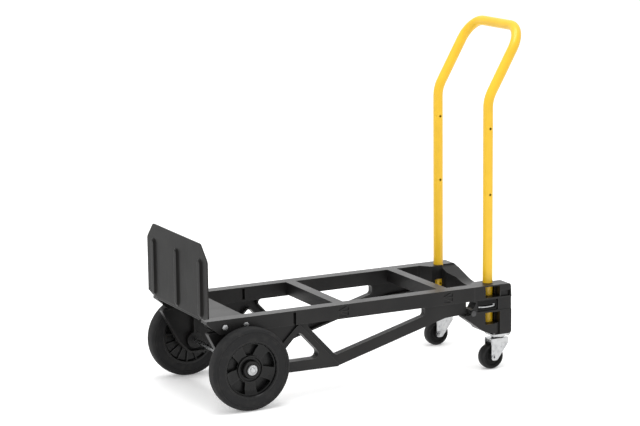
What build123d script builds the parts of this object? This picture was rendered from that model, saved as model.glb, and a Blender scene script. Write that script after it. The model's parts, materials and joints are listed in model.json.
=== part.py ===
from build123d import *
import math
import os

# Convertible hand truck standing as a four-wheel platform cart.  Millimetres, +Z up.
# The design is laid out from the big wheels' axle: X along the cart towards the handle,
# Y across it, Z up from the floor.  Every sub-part is drawn for the right side (+Y) or
# for the middle, mirrored for the left side, and shifted so that the origin is under
# the middle of the whole cart.

# ---- driving dimensions -------------------------------------------------------------
# big wheels
WHEEL_R = 101.6
TYRE_INNER_R, TYRE_ROUND = 70.6, 4.0
TYRE_Y0, TYRE_Y1 = 168.0, 206.0
HUB_Y0, HUB_Y1 = 164.0, 203.0
HUB_BOSS_R = 22.0
HUB_SPOKES, SPOKE_ANGLE, HUB_RIBS = 5, 54.0, 15
POCKET_R0, POCKET_R1, POCKET_FLOOR = 34.0, 62.0, -7.0
POCKET_ROUND, SPOKE_HALF, SPOKE_OVERLAP, HUB_REACH = 3.0, (12.5, 16.5), 6.0, 50.0
HUB_RIB_R1, HUB_RIB_Y, HUB_RIB_HALF = 64.0, (-16.0, -10.0), 1.3
WHEEL_Y = 187.0
# the hub's turned outline: (radius, distance outwards from the wheel's middle)
HUB_PROFILE = [
    (7.5, -23), (22, -23), (24, -11), (61, -11), (63.5, -15.5), (65, -17.5), (TYRE_INNER_R, -17.5),
    (TYRE_INNER_R, 17.5), (66.8, 17.5), (64.8, 15.5), (63.8, 10), (50, 3.5), (33.5, 3.5), (32.5, 8),
    (30, 8), (28.5, 5), (24, 5), (22.5, 13), (20.5, 16), (17, 16), (16.5, 14.8), (14, 14.8),
    (13.5, 16), (7.5, 16),
]
BUSH_R, BUSH_LENGTH = 9.5, 14.0
AXLE_R = 6.35
AXLE_END_Y = 208.5
CAP_R, CAP_RIM, CAP_COLLAR = 11.5, 2.4, 1.0
INNER_WASHER_R, OUTER_WASHER_R, WASHER = 14.0, 12.5, 1.6
RUNNING_GAP = 0.06
BODY_GAP = 0.4
FAR = 900.0  # longer than any part, for cutting tools

# side frames
RAIL_Y0, RAIL_Y1 = 130.0, 161.5
RAIL_Z0, RAIL_TOP = 186.2, 221.7
RAIL_X0, RAIL_X1, RAIL_SOLID = -98.0, 640.0, 40.0
WALL = 4.0
WEB_Y0, WEB_Y1 = 143.0, 149.0
RIM = 4.0
RAISED_Y1 = 155.0
CHORD_SLOPE = 0.275
NODE_X, NODE_Z = 257.0, 66.0
AXLE_BOSS_R, AXLE_BOSS_Y1, AXLE_RIB_HALF, AXLE_RIB_Z0 = 20.0, 160.0, 3.0, 110.0
# outlines seen from the side: (x, z, corner radius)
LEG_OUTLINE = [
    (-90, RAIL_Z0 + 3, 4), (-44, 100, 14), (-16, 70, 22), (NODE_X, NODE_Z, 14),
    (NODE_X + 306, NODE_Z + 306 * CHORD_SLOPE, 60), (622, 152, 8), (622, RAIL_Z0 + 3, 4),
]
SMALL_OPENING = [(79, 94, 8), (150, 167, 9), (217, 94, 12)]
LARGE_OPENING = [(166, RAIL_Z0, 8), (503, RAIL_Z0, 9), (503, 163, 9), (252, 94, 10)]
RAISED_TRIANGLE = [(30, NODE_Z + 3, 6), (150, 186, 8), (NODE_X + 6, NODE_Z + 0.5, 4)]
RAIL_NOSE = [(RAIL_X0 - 1, RAIL_Z0 - 1, 0.2), (-61, RAIL_Z0 - 1, 0.2), (RAIL_X0 - 1, 216, 0.2)]
SLOT_X, SLOT_WIDTH, SLOT_DEPTH = 135.0, 8.0, 9.0

# cross braces and end crosshead
BRACE_X = (268.5, 563.0)
BRACE_WIDTH, BRACE_Z0 = 27.0, 190.0
BRACE_END = 14.0
MOTIF_WIDTH, MOTIF_DEPTH, MOTIF_RIB, MOTIF_MARGIN = 28.0, 2.0, 2.4, 5.0
MOTIF_BACK = 17.0
HEAD_X1 = 748.0
HEAD_Z0 = 150.0
HEAD_WALL = 5.0
DISH_Y, DISH_TOP, DISH_LOW, DISH_R = 118.0, 218.5, 176.7, 170.0
HEAD_MID_X, HEAD_END_X = 715.0, 701.0
FLARE_Y = (58.0, 84.0)

# screws of the cross members and caster plates
SCREW_R, SCREW_HEAD_R, SCREW_HEAD, SCREW_LENGTH = 2.25, 4.2, 2.6, 22.0
BRACE_SCREW_Z = (196.0, 211.0)
HEAD_SCREW_X, HEAD_SCREW_Z = 728.0, (160.0, 178.0)
PLATE_SCREW_DX, PLATE_SCREW_DY = 20.0, 16.0

# corner blocks
BLOCK_Y0 = 105.0
INNER_X0, SLANT = 668.0, 22.0
TONGUE = 12.0
BLOCK_Z0 = 92.0
WINDOW_X0, WINDOW_X1 = 671.0, 714.0
TUBE_WINDOW_X = (684.0, 711.0)
UPPER_WINDOW = (190.0, 218.7)
LOWER_WINDOW = (121.0, 152.0)
INNER_WINDOW = (157.0, 186.0)
INNER_WINDOW_X0, INNER_WINDOW_X1 = 678.0, 703.0
SOCKET_FLOOR_Z, SOCKET_GAP = 98.0, 0.1
JOINT_BOLT_X, JOINT_BOLT_Z = 635.0, 155.0
BLOCK_OUTLINE = [
    (RAIL_X1, RAIL_TOP, 0.5), (HEAD_X1 - 2, RAIL_TOP, 7), (HEAD_X1, 190, 20),
    (HEAD_X1, BLOCK_Z0, 6), (708, BLOCK_Z0, 20), (668, 103, 40), (612, 144, 3),
    (612, 150.5, 2), (628, 150.5, 2), (628, 164, 2), (637, 167, 2), (645, 181, 2),
    (RAIL_X1, RAIL_Z0, 1),
]
COLUMN_POCKET, COLUMN_POCKET_DEPTH = (716.0, 744.0, 189.5, 205.0), 6.0
BAND = (155.0, 187.0)
BAND_DEPTH = 1.6
GROOVE_X, GROOVE_DEPTH = (703.0, 714.0), 5.0
RECESS_Y = 140.6

# toe plate
TOE_X, STEEL = -102.2, 3.0
TOE_HALF_WIDTH, TOE_TOP, TOE_BOTTOM = 181.0, 408.0, 224.0
TOE_CORNER, TOE_FOOT_STEP = 38.0, 11.0
TOE_RIB_Y = (-140.0, 0.0, 140.0)
TOE_RIB_WIDTH, TOE_RIB_HEIGHT, TOE_RIB_TOP = 26.0, 4.5, 372.0
TOE_RIB_FOOT, TOE_RIB_TAPER = 228.0, 40.0
# side tab outline: (x, z, corner radius)
TOE_TAB = [(-88, 221, 0.5), (-88, 204, 8), (-72, 190, 8), (10, 190, 8), (10, 221, 0.5)]
FLANGE_X1 = 10.0
TOE_BOLT_X, TOE_BOLT_Z = (-51.0, 4.0), 203.5
BOLT_R, BOLT_HEAD_R, BOLT_HEAD, NUT = 4.0, 7.5, 4.5, 6.0
BOLT_TAIL, TOE_BOSS_R, JOINT_HEAD = 8.0, 11.0, 3.5

# swivel casters
CASTER_R, CASTER_CORE_R, CASTER_WIDTH, TREAD_ROUND = 32.5, 25.0, 25.0, 5.0
CASTER_AXLE_X, SWIVEL_X, CASTER_Y = 700.0, 721.0, 139.0
PLATE_X, PLATE_Y, PLATE_T = 54.0, 46.0, 4.0
CROWN_TOP = 80.0
FORK_HALF, FORK_STEEL = 17.5, 2.5
FORK_X0, FORK_X1 = 693.0, 745.0
KINGPIN_R, KINGPIN_HEAD, RIVET_R, RIVET = 5.0, 3.0, 8.5, 4.0
RACE_R, RACE_BEVEL = 18.0, 3.0
CASTER_BOLT_R, CASTER_BUSH_R, CASTER_HEAD_R, CASTER_HEAD, CASTER_HOLLOW_R = 4.0, 6.5, 6.0, 1.6, 2.8
CASTER_NUT_R, CASTER_NUT, CASTER_BOSS_R = 7.0, 5.0, 10.0

# handle and its locks
TUBE_R, TUBE_WALL, PLUG, PLUG_FLANGE = 12.7, 1.6, 14.0, 1.5
HANDLE_X, HANDLE_Y = 699.0, 125.0
HANDLE_FOOT_Z, HANDLE_BEND_Z = 100.0, 689.0
HANDLE_TOP_X, HANDLE_TOP_Z = 799.5, 864.0
LEAN_RADIUS, CORNER_RADIUS = 80.0, 60.0
LOCK_HOLE_R, LOCK_Z = 3.3, 172.0
LOCK_HOLE_Z = (LOCK_Z, 448.5, 616.2)
LOCK_PIN_R, TIP_GAP = 3.0, 0.3
PULL_X0, PULL_X1 = 650.0, 706.0
PULL_Z0, PULL_Z1 = 158.0, 183.0
PULL_POCKET_Y = 151.5
PULL_Y0, PULL_Y1 = 152.5, 157.5
PULL_GROOVE, GROOVE_Z = 2.6, (162.0, 172.5)
LOCK_CHAMBER = (140.2, 150.0)
LOCK_CHAMBER_R = 6.2
SPRING_WIRE_R, SPRING_R, SPRING_TURNS, SPRING_GAP = 0.25, 4.6, 3, 0.05
COLLAR_R, COLLAR = 5.6, 1.4
BAIL_R, BAIL_Z, BAIL_BOW, BAIL_X = 2.1, 168.5, 1.5, (652.6, 698.5)

MIDDLE_X = (TOE_X - TOE_RIB_HEIGHT + HANDLE_TOP_X + TUBE_R) / 2


# ---- small builders -----------------------------------------------------------------
def block(x0, x1, y0, y1, z0, z1):
    """A box given by its lowest and highest corners."""
    centre = Pos((x0 + x1) / 2, (y0 + y1) / 2, (z0 + z1) / 2)
    return centre * Box(x1 - x0, y1 - y0, z1 - z0)


def rod_y(x, z, radius, y0, y1):
    """A round bar across the cart."""
    return Pos(x, (y0 + y1) / 2, z) * Rot(90, 0, 0) * Cylinder(radius, y1 - y0)


def rod_z(x, y, radius, z0, z1):
    """An upright round bar."""
    return Pos(x, y, (z0 + z1) / 2) * Cylinder(radius, z1 - z0)


def bore_y(x, z, radius):
    """Cutting tool through the right half of the cart, across it."""
    return rod_y(x, z, radius, 0, FAR)


def bore_z(x, y, radius):
    """Upright cutting tool."""
    return rod_z(x, y, radius, 0, FAR)


def hex_y(x, z, radius, y0, y1):
    """A hexagon head or nut whose axis lies across the cart."""
    face = Plane((x, y0, z), x_dir=(1, 0, 0), z_dir=(0, 1, 0)) * RegularPolygon(radius, 6)
    return extrude(face, amount=y1 - y0)


def upright_face(corners):
    """A face in the XZ plane from (x, z, corner radius) points."""
    points = [(x, 0, z) for x, z, _ in corners]
    radii = [radius for _, _, radius in corners]
    return make_face(FilletPolyline(*points, radius=radii, close=True))


def upright_plate(corners, y0, y1):
    """A plate of that outline between two distances from the middle."""
    return Pos(0, y0, 0) * extrude(upright_face(corners), amount=y1 - y0, dir=(0, 1, 0))


def rim_of(corners, thickness, y0, y1, outwards):
    """A wall that follows an outline, inside or outside it."""
    face = upright_face(corners)
    other = offset(face, amount=thickness if outwards else -thickness)
    ring = other - face if outwards else face - other
    return Pos(0, y0, 0) * extrude(ring, amount=y1 - y0, dir=(0, 1, 0))


def save(name, shape):
    """Writes one sub-part in the cart's own frame."""
    export_step(Pos(-MIDDLE_X, 0, 0) * shape, f"parts/{name}.step")


def save_pair(name, right_shape):
    """Writes a sub-part of the right side and its mirror image on the left."""
    save(f"{name}_right", right_shape)
    save(f"{name}_left", mirror(right_shape, about=Plane.XZ))


# ---- side frame: rail, leg and truss in one moulding ---------------------------------

def motif(x):
    """Raised letterless rib pattern in its shallow square, cut by the caller."""
    z0, z1 = RAIL_Z0 + MOTIF_MARGIN, RAIL_TOP - MOTIF_MARGIN
    half = MOTIF_WIDTH / 2
    y0, y1 = RAIL_Y1 - MOTIF_DEPTH, RAIL_Y1
    middle = (z0 + z1) / 2
    reach = math.hypot(MOTIF_WIDTH, (z1 - z0) / 2)
    tilt = math.degrees(math.atan2((z1 - z0) / 2, MOTIF_WIDTH))
    ribs = block(x - half, x + half, y0, y1, middle - MOTIF_RIB / 2, middle + MOTIF_RIB / 2)
    for side in (-1, 1):
        bar = Box(reach, MOTIF_DEPTH, MOTIF_RIB)
        centre = Pos(x, (y0 + y1) / 2, middle + side * (z1 - z0) / 4)
        ribs += centre * Rot(0, -side * tilt, 0) * bar
    square = block(x - half, x + half, y0, y1, z0, z1)
    return square - ribs


def side_frame():
    rail = block(RAIL_X0, RAIL_X1, RAIL_Y0, RAIL_Y1, RAIL_Z0, RAIL_TOP)
    rail -= block(RAIL_X0 + RAIL_SOLID, RAIL_X1 + 1, RAIL_Y0 + WALL, RAIL_Y1 - WALL,
                  RAIL_Z0 - 1, RAIL_TOP - WALL)
    rail -= upright_plate(RAIL_NOSE, RAIL_Y0 - 1, RAIL_Y1 + 1)
    rail += block(SLOT_X - SLOT_WIDTH, SLOT_X + SLOT_WIDTH, RAIL_Y0, RAIL_Y1, RAIL_Z0, RAIL_TOP)
    for x in TOE_BOLT_X:
        rail += rod_y(x, TOE_BOLT_Z, TOE_BOSS_R, RAIL_Y0, RAIL_Y1)
    for x in BRACE_X:
        rail += block(x - MOTIF_BACK, x + MOTIF_BACK, RAIL_Y1 - 2 * WALL, RAIL_Y1, RAIL_Z0, RAIL_TOP)
        rail -= motif(x)
    for y0, y1 in ((RAIL_Y1 - SLOT_DEPTH, RAIL_Y1 + 1), (RAIL_Y0 - 1, RAIL_Y0 + SLOT_DEPTH)):
        rail -= block(SLOT_X - SLOT_WIDTH / 2, SLOT_X + SLOT_WIDTH / 2, y0, y1,
                      RAIL_Z0 - 1, RAIL_TOP - WALL)

    web = upright_plate(LEG_OUTLINE, WEB_Y0, WEB_Y1)
    rims = rim_of(LEG_OUTLINE, RIM, RAIL_Y0, WEB_Y1, outwards=False)
    rims += rim_of(SMALL_OPENING, RIM, RAIL_Y0, WEB_Y1, outwards=True)
    rims += rim_of(LARGE_OPENING, RIM, RAIL_Y0, WEB_Y1, outwards=True)
    rims -= block(RAIL_X0 - 1, RAIL_X1 + 1, 0, FAR, RAIL_Z0 + WALL - 1, FAR)
    truss = web + rims + upright_plate(RAISED_TRIANGLE, WEB_Y0, RAISED_Y1)
    truss += rod_y(0, WHEEL_R, AXLE_BOSS_R, RAIL_Y0, AXLE_BOSS_Y1)
    truss += block(-AXLE_RIB_HALF, AXLE_RIB_HALF, RAIL_Y0, WEB_Y1, AXLE_RIB_Z0, RAIL_Z0 + WALL - 1)
    for opening in (SMALL_OPENING, LARGE_OPENING):
        truss -= upright_plate(opening, 0, FAR)

    frame = rail + truss
    frame -= bore_y(0, WHEEL_R, AXLE_R + RUNNING_GAP)
    for x in TOE_BOLT_X:
        frame -= bore_y(x, TOE_BOLT_Z, BOLT_R)
    for x in BRACE_X:
        for z in BRACE_SCREW_Z:
            frame -= rod_y(x, z, SCREW_R, 0, RAIL_Y0 + WALL + 0.01)
    return frame


# ---- cross members --------------------------------------------------------------------
def cross_brace(x):
    """Channel between the rails, open below, with solid ends for its screws."""
    half = BRACE_WIDTH / 2
    brace = block(x - half, x + half, -RAIL_Y0, RAIL_Y0, BRACE_Z0, RAIL_TOP)
    brace -= block(x - half + WALL, x + half - WALL, -RAIL_Y0 + BRACE_END,
                   RAIL_Y0 - BRACE_END, BRACE_Z0 - 1, RAIL_TOP - WALL)
    for side in (-1, 1):
        for z in BRACE_SCREW_Z:
            near, far = sorted((side * RAIL_Y0, side * (RAIL_Y0 + WALL - SCREW_LENGTH)))
            brace -= rod_y(x, z, SCREW_R, near - 0.01, far + 0.01)
    return brace


def arc_cutter(x0, x1):
    """What lies above the dished top of the crosshead and of the blocks' inner edges."""
    left, right = (-DISH_Y, DISH_TOP), (DISH_Y, DISH_TOP)
    dish = FilletPolyline(left, (0, DISH_LOW), right, radius=DISH_R)
    lid = Polyline(right, (DISH_Y, FAR), (-DISH_Y, FAR), left)
    face = Plane((x0, 0, 0), x_dir=(0, 1, 0), z_dir=(1, 0, 0)) * make_face([dish, lid])
    return extrude(face, amount=x1 - x0)


def head_plan(inset):
    """Outline from above, wider at its ends, drawn in by the wall's thickness."""
    half = BLOCK_Y0 - inset
    y0, y1 = FLARE_Y
    inner = [(HEAD_END_X, half), (HEAD_END_X, y1), (HEAD_MID_X, y0)]
    corners = [(x + inset, y) for x, y in inner] + [(x + inset, -y) for x, y in reversed(inner)]
    return make_face(Polyline((HEAD_X1 - inset, half), *corners, (HEAD_X1 - inset, -half), close=True))


def end_crosshead():
    """Dished head that joins the corner blocks, open below."""
    height = RAIL_TOP - HEAD_Z0
    head = Pos(0, 0, HEAD_Z0) * extrude(head_plan(0), amount=height)
    hollow = Pos(0, 0, HEAD_Z0 - 1) * extrude(head_plan(HEAD_WALL), amount=height)
    cutter = arc_cutter(HEAD_END_X - 1, HEAD_X1 + 1)
    hollow -= Pos(0, 0, -HEAD_WALL) * cutter
    head = head - hollow - cutter
    for side in (-1, 1):
        for z in HEAD_SCREW_Z:
            near, far = sorted((side * (BLOCK_Y0 - HEAD_WALL), side * BLOCK_Y0))
            head -= rod_y(HEAD_SCREW_X, z, SCREW_R, near - 0.01, far + 0.01)
    return head


def screw_y(x, z, y_head, inwards):
    """Round-headed screw; its point lies towards the middle or away from it."""
    turn = -1 if inwards else 1
    head = sorted((y_head, y_head - turn * SCREW_HEAD))
    shank = sorted((y_head, y_head + turn * SCREW_LENGTH))
    return rod_y(x, z, SCREW_HEAD_R, *head) + rod_y(x, z, SCREW_R, *shank)


def both_sides(shapes):
    """The right side's solids and their mirror images as one group."""
    return Compound([*shapes, *[mirror(shape, about=Plane.XZ) for shape in shapes]])


def brace_screws():
    return both_sides([screw_y(x, z, RAIL_Y0 + WALL, True) for x in BRACE_X for z in BRACE_SCREW_Z])


def crosshead_screws():
    seat = BLOCK_Y0 - HEAD_WALL
    return both_sides([screw_y(HEAD_SCREW_X, z, seat, False) for z in HEAD_SCREW_Z])


# ---- corner blocks --------------------------------------------------------------------
def corner_block():
    solid = upright_plate(BLOCK_OUTLINE, RAIL_Y0, RAIL_Y1)
    inner = upright_plate(BLOCK_OUTLINE, BLOCK_Y0, RAIL_Y0)
    edge = RAIL_Y0 + 0.01
    slant = Polyline((0, 0), (INNER_X0, 0), (INNER_X0, BLOCK_Y0), (INNER_X0 - SLANT, edge),
                     (0, edge), close=True)
    solid += inner - extrude(make_face(slant), amount=FAR)
    tongue = block(RAIL_X1 - TONGUE, RAIL_X1 + 1, RAIL_Y0 + WALL, RAIL_Y1 - WALL,
                   RAIL_Z0 + 1, RAIL_TOP - WALL)
    solid += tongue
    for low, high in (UPPER_WINDOW, LOWER_WINDOW):
        solid -= block(WINDOW_X0, WINDOW_X1, RECESS_Y, RAIL_Y1 + 1, low, high)
        solid -= block(*TUBE_WINDOW_X, HANDLE_Y, RECESS_Y + 1, low, high)
    low, high = INNER_WINDOW
    solid -= block(INNER_WINDOW_X0, INNER_WINDOW_X1, BLOCK_Y0 - 1, HANDLE_Y, low, high)
    solid -= rod_z(HANDLE_X, HANDLE_Y, TUBE_R + SOCKET_GAP, SOCKET_FLOOR_Z, RAIL_TOP + 1)
    solid -= arc_cutter(HEAD_END_X, HEAD_X1 + 1)

    solid -= block(PULL_X0 - 3, HEAD_X1 + 1, RAIL_Y1 - BAND_DEPTH, RAIL_Y1 + 1, *BAND)
    solid -= block(PULL_X0 - 3, PULL_X1 + 3, PULL_POCKET_Y, RAIL_Y1 + 1, PULL_Z0 - 1.5, PULL_Z1 + 1.5)
    solid -= rod_y(HANDLE_X, LOCK_Z, LOCK_PIN_R + RUNNING_GAP, HANDLE_Y + TUBE_R, PULL_POCKET_Y + 1)
    solid -= rod_y(HANDLE_X, LOCK_Z, LOCK_CHAMBER_R, HANDLE_Y + TUBE_R, LOCK_CHAMBER[1])
    solid -= block(*GROOVE_X, RAIL_Y1 - GROOVE_DEPTH, RAIL_Y1 + 1, BLOCK_Z0 - 1, LOWER_WINDOW[0] + 1)
    x0, x1, z0, z1 = COLUMN_POCKET
    solid -= block(x0, x1, RAIL_Y1 - COLUMN_POCKET_DEPTH, RAIL_Y1 + 1, z0, z1)
    for z in HEAD_SCREW_Z:
        solid -= rod_y(HEAD_SCREW_X, z, SCREW_R, BLOCK_Y0 - 1, BLOCK_Y0 - HEAD_WALL + SCREW_LENGTH)
    solid -= bore_y(JOINT_BOLT_X, JOINT_BOLT_Z, BOLT_R)
    solid -= rod_z(SWIVEL_X, CASTER_Y, KINGPIN_R + 2, BLOCK_Z0 - 1, BLOCK_Z0 + KINGPIN_HEAD + 1)
    for dx in (-PLATE_SCREW_DX, PLATE_SCREW_DX):
        for dy in (-PLATE_SCREW_DY, PLATE_SCREW_DY):
            solid -= rod_z(SWIVEL_X + dx, CASTER_Y + dy, SCREW_R, BLOCK_Z0 - 1, SOCKET_FLOOR_Z - 1)
    return solid


def joint_bolts():
    """One bolt and nut through each block's lug."""
    head = rod_y(JOINT_BOLT_X, JOINT_BOLT_Z, BOLT_HEAD_R, RAIL_Y1, RAIL_Y1 + JOINT_HEAD)
    return both_sides([head + rod_y(JOINT_BOLT_X, JOINT_BOLT_Z, BOLT_R, RAIL_Y0 - BOLT_TAIL, RAIL_Y1)])


def joint_nuts():
    nut = hex_y(JOINT_BOLT_X, JOINT_BOLT_Z, BOLT_HEAD_R, RAIL_Y0 - NUT, RAIL_Y0)
    return both_sides([nut - bore_y(JOINT_BOLT_X, JOINT_BOLT_Z, BOLT_R)])


# ---- toe plate and its fasteners ------------------------------------------------------
def toe_plate():
    """Pressed steel plate with three beads, a flange between the rails and two tabs."""
    plane = Plane((TOE_X, 0, 0), x_dir=(0, 1, 0), z_dir=(1, 0, 0))
    half, corner, step = TOE_HALF_WIDTH, TOE_CORNER, TOE_FOOT_STEP
    outline = Polyline(
        (-half, TOE_TOP - corner), (-half + corner, TOE_TOP), (half - corner, TOE_TOP),
        (half, TOE_TOP - corner), (half, TOE_BOTTOM + step), (RAIL_Y0 + step, TOE_BOTTOM),
        (-RAIL_Y0 - step, TOE_BOTTOM), (-half, TOE_BOTTOM + step), close=True)
    plate = extrude(plane * make_face(outline), amount=STEEL)
    for y in TOE_RIB_Y:
        rib_plane = Plane((TOE_X, 0, 0), x_dir=(0, -1, 0), z_dir=(-1, 0, 0))
        length = TOE_RIB_TOP - TOE_RIB_FOOT
        shape = Pos(-y, TOE_RIB_FOOT + length / 2) * RectangleRounded(TOE_RIB_WIDTH, length, 10)
        plate += extrude(rib_plane * shape, amount=TOE_RIB_HEIGHT, taper=TOE_RIB_TAPER)
    bend = [(TOE_X, TOE_BOTTOM + 1, 0.3), (TOE_X, RAIL_TOP - STEEL, 4.5),
            (FLANGE_X1, RAIL_TOP - STEEL, 0.3), (FLANGE_X1, RAIL_TOP, 0.3),
            (TOE_X + STEEL, RAIL_TOP, 1.5), (TOE_X + STEEL, TOE_BOTTOM + 1, 0.3)]
    plate += upright_plate(bend, -RAIL_Y0, RAIL_Y0)
    for side in (-1, 1):
        y0, y1 = sorted((side * (RAIL_Y0 - STEEL), side * RAIL_Y0))
        plate += upright_plate(TOE_TAB, y0, y1)
        for x in TOE_BOLT_X:
            plate -= rod_y(x, TOE_BOLT_Z, BOLT_R, y0 - 1, y1 + 1)
    return plate


def toe_bolts():
    bolts = []
    for x in TOE_BOLT_X:
        head = hex_y(x, TOE_BOLT_Z, BOLT_HEAD_R, RAIL_Y1, RAIL_Y1 + BOLT_HEAD)
        bolts.append(head + rod_y(x, TOE_BOLT_Z, BOLT_R, RAIL_Y0 - STEEL - BOLT_TAIL, RAIL_Y1))
    return both_sides(bolts)


def toe_nuts():
    nuts = []
    for x in TOE_BOLT_X:
        nut = hex_y(x, TOE_BOLT_Z, BOLT_HEAD_R, RAIL_Y0 - STEEL - NUT, RAIL_Y0 - STEEL)
        nuts.append(nut - bore_y(x, TOE_BOLT_Z, BOLT_R))
    return both_sides(nuts)


# ---- big wheels -----------------------------------------------------------------------
def wheel_tyre():
    tyre = rod_y(0, WHEEL_R, WHEEL_R, TYRE_Y0, TYRE_Y1)
    tyre = fillet(tyre.edges(), TYRE_ROUND)
    return tyre - rod_y(0, WHEEL_R, TYRE_INNER_R, TYRE_Y0 - 1, TYRE_Y1 + 1)


def wheel_hub():
    """Turned body with dished spokes between five deep pockets, ribbed on its inner side."""
    turned = make_face(Polyline(*[(radius, across) for radius, across in HUB_PROFILE], close=True))
    hub = revolve(turned, axis=Axis.Y)
    pockets = rod_y(0, 0, POCKET_R1, POCKET_FLOOR, HUB_REACH - 1)
    pockets -= rod_y(0, 0, POCKET_R0, -HUB_REACH, HUB_REACH)
    near, far = SPOKE_HALF
    ribs = []
    for spoke in range(HUB_SPOKES):
        inner, outer = POCKET_R0 - SPOKE_OVERLAP, POCKET_R1 + SPOKE_OVERLAP
        bar = Polyline((inner, -near), (outer, -far), (outer, far), (inner, near), close=True)
        bar = extrude(Plane.XZ.offset(-HUB_REACH) * make_face(bar), amount=2 * HUB_REACH)
        pockets -= Rot(0, -SPOKE_ANGLE - spoke * 360 / HUB_SPOKES, 0) * bar
    pockets = fillet(pockets.edges().filter_by(Axis.Y), POCKET_ROUND)
    for rib in range(HUB_RIBS):
        plate = block(HUB_BOSS_R - 1, HUB_RIB_R1, *HUB_RIB_Y, -HUB_RIB_HALF, HUB_RIB_HALF)
        ribs.append(Rot(0, -rib * 360 / HUB_RIBS, 0) * plate)
    hub = hub - pockets + ribs
    hub -= rod_y(0, 0, BUSH_R, HUB_Y0 - WHEEL_Y - 1, HUB_Y0 - WHEEL_Y + BUSH_LENGTH)
    hub -= rod_y(0, 0, BUSH_R, HUB_Y1 - WHEEL_Y - BUSH_LENGTH, HUB_Y1 - WHEEL_Y + 1)
    return Pos(0, WHEEL_Y, WHEEL_R) * hub


def wheel_bushes():
    bushes = []
    for y0 in (HUB_Y0, HUB_Y1 - BUSH_LENGTH):
        ring = rod_y(0, WHEEL_R, BUSH_R, y0, y0 + BUSH_LENGTH)
        bushes.append(ring - bore_y(0, WHEEL_R, AXLE_R + RUNNING_GAP))
    return Compound(bushes)


def axle():
    bar = rod_y(0, WHEEL_R, AXLE_R, -AXLE_END_Y, AXLE_END_Y)
    return chamfer(bar.edges().filter_by(GeomType.CIRCLE), 1)


def axle_washers():
    hole = bore_y(0, WHEEL_R, AXLE_R)
    outer_y0 = HUB_Y1 + BODY_GAP
    inner = rod_y(0, WHEEL_R, INNER_WASHER_R, AXLE_BOSS_Y1, HUB_Y0 - BODY_GAP) - hole
    outer = rod_y(0, WHEEL_R, OUTER_WASHER_R, outer_y0, outer_y0 + WASHER) - hole
    return both_sides([inner, outer])


def axle_caps():
    """Push-on caps: a raised rim, a groove and a collar that grips the axle."""
    y0 = HUB_Y1 + BODY_GAP + WASHER
    cap = rod_y(0, WHEEL_R, CAP_R, y0, AXLE_END_Y - 1)
    groove = rod_y(0, WHEEL_R, CAP_R - CAP_RIM, y0 + 1, AXLE_END_Y)
    cap -= groove - bore_y(0, WHEEL_R, AXLE_R + CAP_COLLAR)
    cap = fillet(cap.edges().group_by(Axis.Y)[-1], 0.4)
    return both_sides([cap - bore_y(0, WHEEL_R, AXLE_R)])


# ---- swivel casters -------------------------------------------------------------------
def caster_plate():
    outline = RectangleRounded(PLATE_X, PLATE_Y, 6)
    plate = Pos(SWIVEL_X, CASTER_Y, BLOCK_Z0 - PLATE_T) * extrude(outline, amount=PLATE_T)
    plate -= bore_z(SWIVEL_X, CASTER_Y, KINGPIN_R)
    for dx in (-PLATE_SCREW_DX, PLATE_SCREW_DX):
        for dy in (-PLATE_SCREW_DY, PLATE_SCREW_DY):
            plate -= bore_z(SWIVEL_X + dx, CASTER_Y + dy, SCREW_R)
    return plate


def caster_plate_screws():
    screws = []
    seat = BLOCK_Z0 - PLATE_T
    for dx in (-PLATE_SCREW_DX, PLATE_SCREW_DX):
        for dy in (-PLATE_SCREW_DY, PLATE_SCREW_DY):
            x, y = SWIVEL_X + dx, CASTER_Y + dy
            head = rod_z(x, y, SCREW_HEAD_R, seat - SCREW_HEAD, seat)
            screws.append(head + rod_z(x, y, SCREW_R, seat, SOCKET_FLOOR_Z - 1))
    return both_sides(screws)


def caster_race():
    """Dished ball race fixed under the plate."""
    race = rod_z(SWIVEL_X, CASTER_Y, RACE_R, CROWN_TOP + BODY_GAP, BLOCK_Z0 - PLATE_T)
    race = chamfer(race.edges().group_by(Axis.Z)[0], RACE_BEVEL)
    return race - bore_z(SWIVEL_X, CASTER_Y, KINGPIN_R)


def caster_kingpin():
    crown_under = CROWN_TOP - FORK_STEEL
    pin = rod_z(SWIVEL_X, CASTER_Y, KINGPIN_R, crown_under - BODY_GAP, BLOCK_Z0)
    pin += rod_z(SWIVEL_X, CASTER_Y, KINGPIN_R + 1.8, BLOCK_Z0, BLOCK_Z0 + KINGPIN_HEAD)
    rivet_top = crown_under - BODY_GAP
    return pin + rod_z(SWIVEL_X, CASTER_Y, RIVET_R, rivet_top - RIVET, rivet_top)


def caster_fork():
    """Bent steel yoke with tapered legs that trail behind the swivel."""
    crown = block(FORK_X0, FORK_X1, CASTER_Y - FORK_HALF, CASTER_Y + FORK_HALF,
                  CROWN_TOP - FORK_STEEL, CROWN_TOP)
    crown = fillet(crown.edges().filter_by(Axis.Z), 6)
    leg = [(FORK_X0, CROWN_TOP - 1, 1), (FORK_X0, CASTER_R - 9, 7),
           (CASTER_AXLE_X + 10, CASTER_R - 9, 7), (FORK_X1 - 3, 66, 5), (FORK_X1 - 3, CROWN_TOP - 1, 1)]
    inside = FORK_HALF - FORK_STEEL
    fork = crown
    for y0 in (CASTER_Y - FORK_HALF, CASTER_Y + inside):
        fork += upright_plate(leg, y0, y0 + FORK_STEEL)
    fork -= bore_z(SWIVEL_X, CASTER_Y, KINGPIN_R + RUNNING_GAP)
    return fork - bore_y(CASTER_AXLE_X, CASTER_R, CASTER_BOLT_R)


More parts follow.
